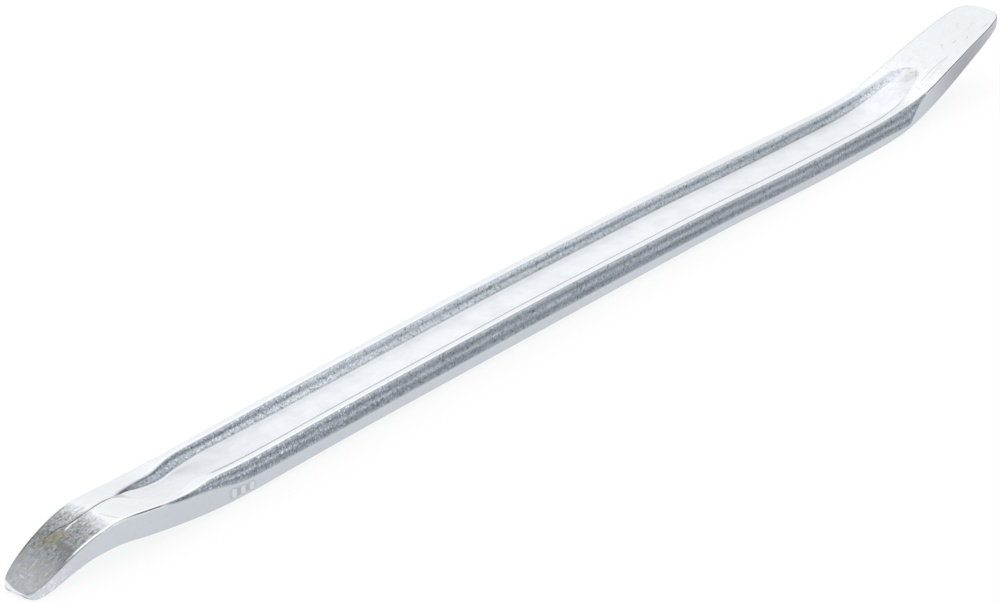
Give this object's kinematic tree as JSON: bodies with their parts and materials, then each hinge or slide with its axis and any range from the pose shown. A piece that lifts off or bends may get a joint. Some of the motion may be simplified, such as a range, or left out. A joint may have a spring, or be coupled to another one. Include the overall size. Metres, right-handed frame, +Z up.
{
  "type": "tyre lever pry bar",
  "caption": "One-piece forged steel lever for prying tyre beads and joints apart: hooked tip, ribbed shank with a long recess, and a spoon tip.",
  "frame": {"origin": "bottom centre of the bounding box, on the bench that the lever lies on", "axes": "+X along the lever towards the spoon tip, +Z up out of the recessed side, Y across the width"},
  "size_m": [0.3, 0.016, 0.0152],
  "materials": {
    "plated_steel": "bright plated forging: ground and polished faces, as-forged grain on the slopes beside the ribs"
  },
  "bodies": {
    "root": {"forged_lever": "plated_steel"}
  },
  "joints": []
}
